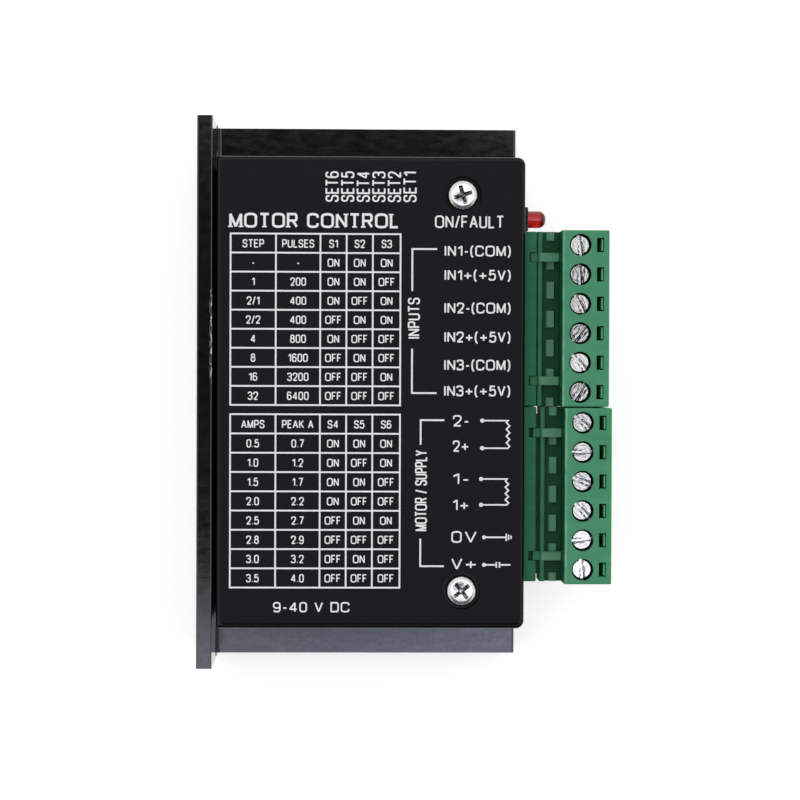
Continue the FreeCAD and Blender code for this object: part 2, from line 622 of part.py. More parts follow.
def regulator(x, y):
    body = block(x, y, 3.1, 3.3, BOARD_TOP, BOARD_TOP + 2.3)
    tab = box(x + 3.1, x + 5.0, y - 2.7, y + 2.7, BOARD_TOP, BOARD_TOP + 0.5)
    legs = [box(x - 5.8, x - 3.1, y + off - 0.4, y + off + 0.4, BOARD_TOP, BOARD_TOP + 0.5)
            for off in (-2.3, 2.3)]
    return join([body, tab] + legs)


def main():
    os.makedirs("parts", exist_ok=True)
    save("heatsink", [heatsink()])
    save("cover", [cover()])
    save("label", [label()])
    save("cover_screws", [pan_screw(x, y, RECESS_FLOOR, 8.0, angle)
                          for (x, y), angle in zip(cover_screw_places(), COVER_SCREW_ANGLES)])
    save("circuit_board", [board()])
    save("lower_standoffs", [lower_standoff(x, y) for x, y in standoff_places()])
    save("upper_standoffs", [upper_standoff(x, y) for x, y in cover_screw_places()])
    save("board_screws", [pan_screw(STANDOFF_X, side * COVER_SCREW_Y, BOARD_TOP, 6.0,
                                    BOARD_SCREW_ANGLE) for side in (1, -1)])

    number = 0
    for name, centre in PLUG_CENTRES.items():
        gap = PLUG_GAPS[name]
        save(name + "_header", [header(centre)])
        save(name + "_header_pins", header_pins(centre))
        save(name + "_plug", [plug_body(centre)], gap)
        save(name + "_plug_contacts", [plug_contact(y) for y in pole_ys(centre)], gap)
        for y in pole_ys(centre):
            angle = SCREW_SLOT_ANGLES[number]
            number += 1
            save("terminal_screw_%d" % number, [terminal_screw(y, angle)], gap)
            save("clamp_cage_%d" % number, [clamp_cage(y)], gap)

    save("dip_switch_body", [switch_body()])
    save("dip_switch_terminals", switch_terminals())
    for k, x in enumerate(switch_xs()):
        save("dip_slider_%d" % (k + 1), [switch_slider(x)])

    save("led_lens", [led_lens()])
    save("led_leads", led_leads())
    save("led_holder", [led_holder()])

    save("driver_chip", [driver_chip()])
    save("driver_chip_leads", chip_leads())
    save("thermal_pad", [thermal_pad()])
    save("driver_chip_screws", [pan_screw(x, y, CHIP_TOP, 7.0, CHIP_SCREW_ANGLE)
                                for x, y in chip_screw_places()])
    save("capacitors", [capacitor(x, y) for x, y in CAPACITOR_PLACES])
    opto_legs = (-2 * LEG_PITCH, 0, 2 * LEG_PITCH)
    save("optocouplers", [chip_package(OPTOCOUPLER_X, y, 3.2, 3.6, 3.5, opto_legs, 1.0)
                          for y in OPTOCOUPLER_YS])
    logic_legs = [LEG_PITCH * (k - (LOGIC_CHIP_LEGS - 1) / 2) for k in range(LOGIC_CHIP_LEGS)]
    save("logic_chip", [chip_package(*LOGIC_CHIP_PLACE, 1.95, 4.95, 1.7, logic_legs, 1.05)])
    save("regulator", [regulator(*REGULATOR_PLACE)])
    save("sense_resistors", [block(SENSE_RESISTOR_X, y, 3.2, 1.6, BOARD_TOP, BOARD_TOP + 0.8)
                             for y in SENSE_RESISTOR_YS])


main()
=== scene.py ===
import math

import bmesh
import bpy
from mathutils import Euler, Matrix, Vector


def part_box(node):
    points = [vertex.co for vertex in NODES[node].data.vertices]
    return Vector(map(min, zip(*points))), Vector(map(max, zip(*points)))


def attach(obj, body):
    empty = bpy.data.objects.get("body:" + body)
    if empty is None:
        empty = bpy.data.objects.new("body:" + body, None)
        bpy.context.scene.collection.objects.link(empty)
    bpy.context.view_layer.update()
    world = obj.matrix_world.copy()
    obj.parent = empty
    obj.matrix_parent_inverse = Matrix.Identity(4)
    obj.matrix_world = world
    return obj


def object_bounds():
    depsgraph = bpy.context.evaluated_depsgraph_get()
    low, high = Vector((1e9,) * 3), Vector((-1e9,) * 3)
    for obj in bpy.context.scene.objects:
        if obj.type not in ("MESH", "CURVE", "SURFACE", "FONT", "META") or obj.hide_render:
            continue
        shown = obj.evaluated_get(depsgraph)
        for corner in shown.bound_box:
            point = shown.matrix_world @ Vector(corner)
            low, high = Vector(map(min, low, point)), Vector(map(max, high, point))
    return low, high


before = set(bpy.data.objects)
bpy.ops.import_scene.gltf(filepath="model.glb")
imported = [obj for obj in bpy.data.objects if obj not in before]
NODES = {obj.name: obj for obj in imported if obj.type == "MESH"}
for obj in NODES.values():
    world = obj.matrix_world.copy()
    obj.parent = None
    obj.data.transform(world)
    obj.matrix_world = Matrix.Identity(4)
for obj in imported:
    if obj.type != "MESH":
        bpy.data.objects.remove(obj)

# The looks of a stepper driver module. Places are given in module millimetres: X from the outer
# face of the mounting flange towards the plugs, Y from the middle towards the switch end, Z up
# from the tips of the heatsink's fins.

MM = 0.001
CAD_LOW, CAD_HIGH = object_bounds()
FLANGE_FACE_X = CAD_LOW.x


def place(x, y, z):
    """A point given in module millimetres, in the frame's metres."""
    return Vector((FLANGE_FACE_X + x * MM, y * MM, z * MM))


def node_box(name):
    """A node's lowest and highest corners in module millimetres."""
    low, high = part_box(name)
    return [(Vector(corner) - Vector((FLANGE_FACE_X, 0, 0))) / MM for corner in (low, high)]


def middle(name):
    low, high = node_box(name)
    return (low + high) / 2


# ---------------------------------------------------------------- places that the looks follow
FLANGE_THICKNESS = 2.7
FLANGE_TOP = 33.0
PLUG_TOP = 36.5
BLOCK_DEPTH = 8.1              # of a plug's screw block, along X
SCREW_SETBACK = 3.08           # from the block's back to the screws' axes
PITCH = 5.08                   # of the terminals
WELL_RADIUS = 2.0              # of the ring of painted shade round each terminal screw
TEST_SLOT = (5.8, 7.5)         # from the block's back
TEST_SLOT_BOTTOM = 29.0
NOSE_FLOOR, NOSE_RIM, NOSE_RIBS = 28.5, 29.2, 30.1         # heights of a plug's nose
COVER_SCREW_X, COVER_SCREW_Y = 46.1, 34.4
RECESS_RADIUS = 2.0            # of a cover screw's cross
SCREW_FACE = 33.4              # height of a cover screw's flat
CAN_BASE_TOP = 22.6
CAN_SPACING = 10.5
SWITCH_PITCH = 2.54
# each terminal screw's slot direction in degrees, lean along X, depth of its ridges in mm, and
# how dark its bluish patches are
TERMINAL_HEADS = (
    (100, -0.02, 0.004, 0.3), (94, -0.012, 0.012, 1.0), (118, -0.018, 0.007, 0.5),
    (52, -0.008, 0.012, 1.0), (132, -0.024, 0.003, 0.1), (58, -0.01, 0.012, 1.0),
    (140, -0.016, 0.003, 0.4), (2, -0.014, 0.004, 0.2), (158, -0.01, 0.006, 0.5),
    (134, -0.014, 0.003, 0.5), (8, -0.014, 0.004, 0.1), (96, -0.014, 0.003, 0.1),
)


# ---------------------------------------------------------------- shader nodes
def add_node(tree, kind, inputs, output=0, **settings):
    """One shader node, with another node's output or a constant on each input."""
    made = tree.nodes.new(kind)
    for setting, value in settings.items():
        setattr(made, setting, value)
    for socket, value in inputs.items():
        if isinstance(value, bpy.types.NodeSocket):
            tree.links.new(value, made.inputs[socket])
        else:
            made.inputs[socket].default_value = value
    return made.outputs[output]


class Surface:
    """A material being built: one Principled shader, and short calls that add nodes before it."""

    def __init__(self, name, **constants):
        self.material = bpy.data.materials.new(name)
        self.material.use_nodes = True
        self.tree = self.material.node_tree
        self.shader = self.tree.nodes["Principled BSDF"]
        for socket, value in constants.items():
            self.shader.inputs[socket.replace("_", " ")].default_value = value
        shift = self.tree.nodes.new("ShaderNodeMapping")
        shift.inputs["Location"].default_value = Vector((-FLANGE_FACE_X, 0, 0)) / MM
        shift.inputs["Scale"].default_value = (1 / MM,) * 3
        where = self.tree.nodes.new("ShaderNodeTexCoord")
        self.tree.links.new(where.outputs["Object"], shift.inputs["Vector"])
        self.place = shift.outputs["Vector"]

    def node(self, kind, inputs, output=0, **settings):
        return add_node(self.tree, kind, inputs, output, **settings)

    def set(self, socket, value):
        self.tree.links.new(value, self.shader.inputs[socket])

    def math(self, operation, a, b=0.0, c=0.0):
        return self.node("ShaderNodeMath", {0: a, 1: b, 2: c}, operation=operation)

    def times(self, a, b):
        return self.math("MULTIPLY", a, b)

    def length(self, x, y):
        return self.math("SQRT", self.math("MULTIPLY_ADD", x, x, self.times(y, y)))

    def axis(self, letter):
        """One module coordinate, in millimetres."""
        return self.node("ShaderNodeSeparateXYZ", {0: self.place}, output=letter)

    def facing(self, letter):
        """How much the surface faces along an axis, from -1 to 1."""
        normal = self.node("ShaderNodeNewGeometry", {}, output="Normal")
        local = self.node("ShaderNodeVectorTransform", {0: normal}, vector_type="NORMAL",
                          convert_from="WORLD", convert_to="OBJECT")
        return self.node("ShaderNodeSeparateXYZ", {0: local}, output=letter)

    def stretched(self, sizes, turn=0.0):
        """Coordinates that run once over sizes millimetres along each axis, turned about Z."""
        turned = self.node("ShaderNodeMapping", {0: self.place, 2: (0, 0, turn)})
        return self.node("ShaderNodeMapping", {0: turned, 3: tuple(1 / size for size in sizes)})

    def noise(self, *sizes, detail=3.0, rough=0.55, turn=0.0):
        """Cloudy noise with features of about sizes millimetres."""
        spread = sizes * 3 if len(sizes) == 1 else sizes
        where = self.stretched(spread, turn)
        return self.node("ShaderNodeTexNoise", {"Vector": where, "Scale": 1.0, "Detail": detail,
                                                "Roughness": rough})

    def cells(self, size):
        """Distance from scattered points about size millimetres apart, in units of size."""
        where = self.stretched((size,) * 3)
        return self.node("ShaderNodeTexVoronoi", {"Vector": where, "Scale": 1.0})

    def fade(self, value, start, end, low=0.0, high=1.0):
        """Goes smoothly from low to high as value goes from start to end."""
        return self.node("ShaderNodeMapRange", {0: value, 1: start, 2: end, 3: low, 4: high},
                         interpolation_type="SMOOTHSTEP")

    def weave(self, rate):
        """Cloth-like waves along X and Y."""
        return self.times(self.math("SINE", self.times(self.axis("X"), rate)),
                          self.math("SINE", self.times(self.axis("Y"), rate)))

    def band(self, value, low, high, soft):
        """1 between low and high, fading out over soft at both ends."""
        rise = self.fade(value, low - soft, low)
        return self.times(rise, self.fade(value, high, high + soft, 1.0, 0.0))

    def blend(self, amount, first, second):
        return self.node("ShaderNodeMix", {0: amount, 6: first, 7: second}, output=2,
                         data_type="RGBA")

    def relief(self, height, depth, under=None):
        """Bump of depth millimetres over a height that goes from 0 to 1."""
        inputs = {"Height": height, "Strength": 1.0, "Distance": depth * MM}
        if under is not None:
            inputs["Normal"] = under
        return self.node("ShaderNodeBump", inputs)


def paint(material, *names):
    for name in names:
        slots = NODES[name].data.materials
        slots.clear()
        slots.append(material)


def rgb(red, green, blue):
    return (red, green, blue, 1.0)


# ---------------------------------------------------------------- materials: heatsink and cover
def anodised_aluminium():
    """Black anodised extrusion: drawn lines along Y, fine grain, worn bright on a flange edge."""
    s = Surface("anodised_black", Specular_IOR_Level=0.95)
    lines = s.noise(0.2, 40.0, 0.2, detail=2.0)
    grain = s.noise(0.3, detail=3.0)
    waves = s.noise(2.2, detail=4.0)
    dust = s.fade(s.cells(0.9), 0.07, 0.03)
    handled = s.fade(s.noise(5.0, 8.0, 5.0, detail=4.0), 0.4, 0.62)
    tone = s.blend(handled, rgb(0.0026, 0.0026, 0.0031), rgb(0.0044, 0.0043, 0.0053))
    tone = s.blend(s.times(dust, 0.3), tone, rgb(0.2, 0.2, 0.21))
    inner_edge = s.band(s.axis("X"), FLANGE_THICKNESS - 0.4, FLANGE_THICKNESS + 0.05, 0.12)
    near_top = s.fade(s.axis("Z"), FLANGE_TOP - 0.7, FLANGE_TOP - 0.2)
    stretch = s.band(s.axis("Y"), 3.5, 16.0, 2.5)
    patches = s.fade(s.noise(0.3, 1.2, 0.3, detail=4.0), 0.48, 0.58)
    worn = s.times(s.times(inner_edge, near_top), s.times(stretch, patches))
    s.set("Base Color", s.blend(worn, tone, rgb(0.62, 0.62, 0.64)))
    scuffs = s.noise(0.5, 1.1, 0.5, detail=6.0, rough=0.75)
    dull = s.times(s.fade(scuffs, 0.3, 0.75), 0.27)
    s.set("Metallic", s.math("MAXIMUM", worn, dull))
    s.set("Roughness", s.fade(s.noise(3.0, 1.2, 3.0, detail=6.0, rough=0.7), 0.3, 0.7, 0.07, 0.12))
    s.set("Normal", s.relief(grain, 0.0014, s.relief(waves, 0.0025, s.relief(lines, 0.0006))))
    return s.material


def moulded_black():
    """Cover plastic with a fine spark-eroded texture, duller on the walls than on top."""
    s = Surface("black_plastic", Specular_IOR_Level=0.25)
    pits = s.noise(0.22, detail=3.0)
    clouds = s.noise(6.0, detail=4.0)
    s.set("Base Color", s.blend(clouds, rgb(0.001, 0.001, 0.0015), rgb(0.002, 0.002, 0.0027)))
    wall = s.fade(s.math("ABSOLUTE", s.facing("Z")), 0.3, 0.05, 0.0, 0.2)
    s.set("Roughness", s.math("ADD", wall, s.fade(clouds, 0.3, 0.7, 0.18, 0.27)))
    s.set("Normal", s.relief(pits, 0.005))
    return s.material


def label_film():
    """Matt polycarbonate film, very slightly mottled, with painted shade along its -Y edge."""
    s = Surface("label_film", Specular_IOR_Level=0.1)
    grain = s.noise(0.1, detail=2.0)
    mottle = s.noise(2.2, detail=5.0)
    printed = s.blend(mottle, rgb(0.0078, 0.0074, 0.0108), rgb(0.0106, 0.0101, 0.0145))
    low_y = node_box("label")[0].y
    # painted shade: the film turns near black over its last half millimetre towards -Y
    shaded_edge = s.fade(s.axis("Y"), low_y + 0.5, low_y + 0.3)
    s.set("Base Color", s.blend(shaded_edge, printed, rgb(0.0004, 0.0004, 0.0006)))
    s.set("Roughness", s.fade(mottle, 0.3, 0.7, 0.5, 0.6))
    s.set("Normal", s.relief(grain, 0.003))
    return s.material


def white_ink():
    """Screen-printed ink, a little thin in places."""
    s = Surface("white_ink", Specular_IOR_Level=0.3)
    cover = s.noise(0.3, detail=3.0)
    s.set("Base Color", s.blend(s.fade(cover, 0.25, 0.5), rgb(0.9, 0.9, 0.93),
                                rgb(0.98, 0.98, 0.98)))
    s.set("Roughness", s.fade(cover, 0.3, 0.7, 0.5, 0.65))
    s.set("Normal", s.relief(cover, 0.004))
    return s.material


# ---------------------------------------------------------------- materials: plugs and headers
def satin_green(name):
    """Satin polyamide: flow marks, fine texture, pale scuffs."""
    s = Surface(name, Specular_IOR_Level=0.2)
    flow = s.noise(5.0, 2.2, 7.0, detail=5.0)
    texture = s.noise(0.18, detail=3.0)
    scuffs = s.fade(s.noise(0.14, 1.6, 0.5, detail=4.0, turn=0.6), 0.66, 0.74)
    where = s.fade(s.noise(4.0, detail=2.0), 0.5, 0.62)
    marks = s.times(s.times(scuffs, where), 0.4)
    s.set("Roughness", s.fade(flow, 0.3, 0.7, 0.4, 0.54))
    s.set("Normal", s.relief(texture, 0.008))
    return s, s.fade(flow, 0.3, 0.7), marks


def header_green():
    s, flow, marks = satin_green("green_header")
    tone = s.blend(flow, rgb(0.018, 0.18, 0.086), rgb(0.03, 0.22, 0.118))
    s.set("Base Color", s.blend(marks, tone, rgb(0.3, 0.5, 0.4)))
    return s.material


def plug_green(plug):
    """The screw block is a plug's palest part. The nose before it is painted in lit and shaded
    copies of the green: painted shade on its floor, on its lip and low on the block's back wall,
    painted light on its ribs and tongues.
    """
    s, flow, marks = satin_green("green_" + plug)
    block_x = node_box(plug)[1].x - BLOCK_DEPTH
    block = s.blend(flow, rgb(0.061, 0.292, 0.144), rgb(0.079, 0.33, 0.175))
    # lit and shaded copies of the block's green: the next is painted shade for the nose's lip, then
    # painted light for its ribs and tongues, then painted shade for its floor
    shaded_rim = s.blend(flow, rgb(0.03, 0.195, 0.085), rgb(0.046, 0.23, 0.115))
    lit_raised = s.blend(flow, rgb(0.1, 0.31, 0.18), rgb(0.13, 0.35, 0.22))
    shaded_deep = s.blend(flow, rgb(0.002, 0.072, 0.023), rgb(0.005, 0.095, 0.034))
    x, z = s.axis("X"), s.axis("Z")
    # painted light and shade by height over the nose
    tone = s.blend(s.fade(z, NOSE_FLOOR - 0.08, NOSE_FLOOR), shaded_deep, lit_raised)
    tone = s.blend(s.fade(z, NOSE_RIM, NOSE_RIM + 0.1), tone, shaded_rim)
    tone = s.blend(s.fade(z, NOSE_RIBS, NOSE_RIBS + 0.2), tone, lit_raised)
    # painted shade down the block's back wall, all but its top
    wall = s.blend(s.fade(z, PLUG_TOP - 1.1, PLUG_TOP - 0.4), shaded_deep, block)
    tone = s.blend(s.fade(x, block_x - 0.25, block_x - 0.05), tone, wall)
    tone = s.blend(s.fade(x, block_x + 0.05, block_x + 0.3), tone, block)
    from_axis = s.math("SUBTRACT", x, block_x + SCREW_SETBACK)
    between_poles = s.math("SUBTRACT", s.axis("Y"), middle(plug).y - PITCH / 2)
    from_pole = s.math("PINGPONG", between_poles, PITCH / 2)
    radius = s.length(from_axis, from_pole)
    # painted shade: the walls of the hole round each terminal screw are darkened
    well_shade = s.times(s.fade(radius, WELL_RADIUS + 0.05, WELL_RADIUS - 0.02),
                   s.fade(z, PLUG_TOP - 0.1, PLUG_TOP - 0.3))
    tone = s.blend(well_shade, tone, rgb(0.002, 0.014, 0.007))
    # painted light: the walls of each test slot are painted a bright green, for light that reaches
    # into the slot
    slot = s.times(s.band(x, block_x + TEST_SLOT[0], block_x + TEST_SLOT[1], 0.1),
                   s.band(z, TEST_SLOT_BOTTOM, PLUG_TOP - 0.25, 0.1))
    slot = s.times(slot, s.fade(from_pole, 1.4, 1.3))
    tone = s.blend(slot, tone, rgb(0.13, 0.55, 0.28))
    # partly wear, partly a painted highlight: a pale broken line along the top of the block's back
    # edge
    edge = s.times(s.band(x, block_x, block_x + 0.3, 0.12),
                   s.fade(z, PLUG_TOP - 0.3, PLUG_TOP - 0.1))
    worn = s.times(edge, s.fade(s.noise(0.8, 3.0, 0.8, detail=4.0), 0.35, 0.6, 0.1, 0.5))
    s.set("Base Color", s.blend(s.math("MAXIMUM", marks, worn), tone, rgb(0.36, 0.58, 0.46)))
    return s.material


# ---------------------------------------------------------------- materials: metals
def terminal_head(name, centre, angle, lean, ridge_depth, patch_darkness):
    """Nickel-plated slotted head: ridges along the slot, painted shade along the slot's edges,
    tilted slightly.
    """
    s = Surface(name, Metallic=1.0)
    local = s.node("ShaderNodeVectorMath", {0: s.place, 1: centre * Vector((1, 1, 0))},
                   operation="SUBTRACT")
    s.place = s.node("ShaderNodeMapping", {0: local, 2: (0, 0, -math.radians(angle))})
    ridges = s.noise(3.0, 0.26, 1.0, detail=3.0)
    dents = s.noise(0.8, 0.5, 0.8, detail=3.0)
    wander = s.fade(s.noise(0.7, 0.9, 0.7, detail=4.0), 0.3, 0.7, -0.16, 0.16)
    across = s.math("ABSOLUTE", s.math("ADD", s.axis("Y"), wander))
    # painted shade: dark lines along both edges of the slot
    edges = s.times(s.band(across, 0.32, 0.42, 0.08), s.fade(dents, 0.3, 0.5, 0.7, 1.0))
    # dark bluish patches on the plating, darker on the heads given a higher last number in
    # TERMINAL_HEADS
    dark_patch = s.fade(s.noise(1.6, 0.24, 1.0, detail=4.0), 0.46, 0.62)
    dark = s.blend(patch_darkness, rgb(0.64, 0.65, 0.65), rgb(0.02, 0.03, 0.07))
    metal = s.blend(dark_patch, rgb(0.78, 0.78, 0.75), dark)
    s.set("Base Color", s.blend(edges, metal, rgb(0.02, 0.025, 0.03)))
    s.set("Roughness", s.fade(dents, 0.35, 0.65, 0.1, 0.24))
    slope = s.node("ShaderNodeVectorMath", {0: local, 1: (lean, 0, 0)}, output="Value",
                   operation="DOT_PRODUCT")
    s.set("Normal", s.relief(ridges, ridge_depth, s.relief(dents, 0.01, s.relief(slope, 1.0))))
    return s.material


def cover_screw_metal():
    """Bright pan heads, slightly domed, with painted shade in the cross recess."""
    s = Surface("cover_screw", Metallic=1.0)
    x = s.math("SUBTRACT", s.axis("X"), COVER_SCREW_X)
    y = s.math("SUBTRACT", s.math("ABSOLUTE", s.axis("Y")), COVER_SCREW_Y)
    radius = s.length(x, y)
    spots = s.noise(0.5, detail=4.0)
    inside = s.times(s.fade(radius, RECESS_RADIUS + 0.05, RECESS_RADIUS - 0.05),
                     s.fade(s.axis("Z"), SCREW_FACE + 0.03, SCREW_FACE - 0.04))
    # painted shade: the cross recess is darkened, in blotches
    recess_shade = s.times(inside, s.fade(s.noise(0.45, detail=3.0), 0.42, 0.6, 0.97, 0.45))
    steel = s.blend(s.fade(spots, 0.35, 0.7), rgb(0.9, 0.88, 0.88), rgb(0.74, 0.72, 0.72))
    s.set("Base Color", s.blend(recess_shade, steel, rgb(0.035, 0.03, 0.03)))
    s.set("Roughness", s.fade(spots, 0.3, 0.7, 0.12, 0.28))
    dome = s.times(radius, radius)
    s.set("Normal", s.relief(spots, 0.006, s.relief(dome, -0.03)))
    return s.material


def plated_metal(name, low, high, line_size, roughness):
    """Rolled and plated sheet or pin."""
    s = Surface(name, Metallic=1.0)
    lines = s.noise(6.0, line_size, line_size, detail=3.0)
    spots = s.noise(0.8, detail=4.0)
    s.set("Base Color", s.blend(s.fade(spots, 0.3, 0.7), low, high))
    s.set("Roughness", s.fade(spots, 0.3, 0.7, roughness, roughness + 0.15))
    s.set("Normal", s.relief(lines, 0.006))
    return s.material


# ---------------------------------------------------------------- materials: under the cover
def board_laminate():
    """Green solder mask over copper tracks, glass laminate showing at the cut edges."""
    s = Surface("board_laminate", Specular_IOR_Level=0.5)
    across = s.math("PINGPONG", s.math("ADD", s.axis("Y"), s.times(s.noise(14.0), 9.0)), 0.9)
    tracks = s.fade(across, 0.36, 0.42)
    pour = s.fade(s.noise(11.0, 13.0, 3.0, detail=1.0), 0.5, 0.51)
    copper = s.times(tracks, pour)
    mask = s.blend(copper, rgb(0.006, 0.062, 0.022), rgb(0.016, 0.13, 0.045))
    edge = s.fade(s.math("ABSOLUTE", s.facing("Z")), 0.6, 0.4)
    plies = s.fade(s.math("PINGPONG", s.axis("Z"), 0.12), 0.03, 0.09)
    laminate = s.blend(plies, rgb(0.42, 0.36, 0.17), rgb(0.55, 0.5, 0.28))
    s.set("Base Color", s.blend(edge, mask, laminate))
    s.set("Roughness", s.fade(edge, 0.0, 1.0, 0.28, 0.75))
    s.set("Normal", s.relief(s.weave(9.0), 0.004, s.relief(copper, 0.035)))
    return s.material


def two_part(name, inside, body, metal):
    """Moulded body with metal ends or legs: metal wherever the mask inside is 0."""
    s = Surface(name)
    keep = inside(s)
    specks = s.noise(0.15, detail=3.0)
    tint = s.blend(specks, body, tuple(1.6 * part for part in body[:3]) + (1.0,))
    s.set("Base Color", s.blend(keep, metal, tint))
    s.set("Metallic", s.math("SUBTRACT", 1.0, keep))
    s.set("Roughness", s.fade(specks, 0.3, 0.7, 0.35, 0.55))
    s.set("Normal", s.relief(specks, 0.01))
    return s.material


def near_x(centre, half):
    """Mask of what lies within half a body of a row's middle."""
    return lambda s: s.fade(s.math("ABSOLUTE", s.math("SUBTRACT", s.axis("X"), centre)),
                            half + 0.02, half - 0.02)


def capacitor_cans():
    """Drawn aluminium cans on a black base, with a dark polarity mark on one side."""
    s = Surface("can_aluminium")
    base = s.fade(s.axis("Z"), CAN_BASE_TOP + 0.05, CAN_BASE_TOP - 0.05)
    brushed = s.noise(0.15, 0.15, 5.0, detail=3.0)
    top = s.fade(s.facing("Z"), 0.8, 0.9)
    half = s.math("PINGPONG", s.math("ADD", s.axis("X"), 0.4), CAN_SPACING / 2)
    mark = s.times(top, s.fade(half, 3.4, 3.45))
    dark = s.math("MAXIMUM", base, mark)
    s.set("Base Color", s.blend(dark, rgb(0.8, 0.8, 0.81), rgb(0.012, 0.012, 0.013)))
    s.set("Metallic", s.math("SUBTRACT", 1.0, dark))
    s.set("Roughness", s.fade(brushed, 0.3, 0.7, 0.22, 0.4))
    s.set("Normal", s.relief(brushed, 0.004))
    return s.material


def red_lens():
    """Clear red epoxy with a few flow streaks."""
    s = Surface("red_lens", Transmission_Weight=0.85, IOR=1.5, Specular_IOR_Level=0.5)
    streaks = s.noise(0.9, 0.35, 0.35, detail=4.0)
    s.set("Base Color", s.blend(s.fade(streaks, 0.35, 0.65), rgb(0.42, 0.008, 0.008),
                                rgb(0.57, 0.022, 0.018)))
    s.set("Roughness", s.fade(streaks, 0.3, 0.7, 0.04, 0.12))
    s.set("Normal", s.relief(streaks, 0.02))
    return s.material


def switch_plastic(name, low, high, roughness):
    s = Surface(name, Specular_IOR_Level=0.5)
    clouds = s.noise(1.8, detail=5.0)
    s.set("Base Color", s.blend(clouds, low, high))
    s.set("Roughness", s.fade(clouds, 0.3, 0.7, roughness, roughness + 0.12))
    s.set("Normal", s.relief(s.noise(0.12, detail=3.0), 0.005))
    return s.material


def silicone_pad():
    """Grey gap filler with a glass-cloth weave."""
    s = Surface("silicone_pad", Sheen_Weight=0.3)
    clouds = s.noise(2.0, detail=4.0)
    s.set("Base Color", s.blend(clouds, rgb(0.3, 0.32, 0.36), rgb(0.42, 0.44, 0.48)))
    s.set("Roughness", s.fade(clouds, 0.3, 0.7, 0.7, 0.85))
    s.set("Normal", s.relief(s.weave(12.0), 0.02))
    return s.material


def finish_nodes():
    """Every carried-over node gets its material."""
    paint(anodised_aluminium(), "heatsink")
    paint(moulded_black(), "cover", "led_holder")
    paint(label_film(), "label")
    header = header_green()
    tin = plated_metal("tinned_pins", rgb(0.6, 0.59, 0.56), rgb(0.74, 0.73, 0.7), 0.2, 0.25)
    for row in ("signal", "power"):
        paint(plug_green(row + "_plug"), row + "_plug")
        paint(header, row + "_header")
        paint(tin, row + "_header_pins", row + "_plug_contacts")
    paint(tin, "dip_switch_terminals", "led_leads", "driver_chip_leads")
    cage = plated_metal("plated_cage", rgb(0.52, 0.5, 0.45), rgb(0.7, 0.68, 0.62), 0.15, 0.28)
    for number in range(1, 13):
        name = "terminal_screw_%d" % number
        paint(terminal_head(name, middle(name), *TERMINAL_HEADS[number - 1]), name)
        paint(cage, "clamp_cage_%d" % number)
    paint(plated_metal("nickel_screw", rgb(0.66, 0.65, 0.62), rgb(0.84, 0.83, 0.8), 0.9, 0.14),
          "board_screws", "driver_chip_screws")
    paint(cover_screw_metal(), "cover_screws")
    paint(plated_metal("brass_standoff", rgb(0.6, 0.42, 0.17), rgb(0.76, 0.57, 0.27), 0.12, 0.24),
          "lower_standoffs", "upper_standoffs")
    paint(board_laminate(), "circuit_board")
    paint(switch_plastic("switch_body", rgb(0.42, 0.012, 0.01), rgb(0.5, 0.02, 0.014), 0.3),
          "dip_switch_body")
    paint(switch_plastic("slider_white", rgb(0.74, 0.74, 0.7), rgb(0.84, 0.84, 0.8), 0.4),
          *["dip_slider_%d" % number for number in range(1, 7)])
    paint(red_lens(), "led_lens")
    paint(silicone_pad(), "thermal_pad")
    paint(capacitor_cans(), "capacitors")
    epoxy = rgb(0.01, 0.01, 0.0105)
    silver = rgb(0.66, 0.65, 0.62)
    for name, half in (("optocouplers", 3.2), ("logic_chip", 1.95), ("regulator", 3.1),
                       ("sense_resistors", 2.6)):
        paint(two_part(name, near_x(middle(name).x, half), epoxy, silver), name)
    tab = rgb(0.02, 0.02, 0.022)
    paint(two_part("driver_chip", near_x(middle("driver_chip").x, 7.0), epoxy, tab), "driver_chip")


# ---------------------------------------------------------------- pieces: helpers
def add_piece(name, mesh, material, body):
    piece = bpy.data.objects.new(name, mesh)
    bpy.context.scene.collection.objects.link(piece)
    mesh.materials.append(material)
    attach(piece, body)


def add_prism(mesh, outline, low, high):
    """Closed prism over a counterclockwise outline of module (x, y) points."""
    bottom = [mesh.verts.new(place(x, y, low)) for x, y in outline]
    top = [mesh.verts.new(place(x, y, high)) for x, y in outline]
    mesh.faces.new(bottom[::-1])
    mesh.faces.new(top)
    count = len(outline)
    for k in range(count):
        n = (k + 1) % count
        mesh.faces.new((bottom[k], bottom[n], top[n], top[k]))


def finished_mesh(name, mesh):
    data = bpy.data.meshes.new(name)
    bmesh.ops.recalc_face_normals(mesh, faces=mesh.faces)
    mesh.to_mesh(data)
    mesh.free()
    return data


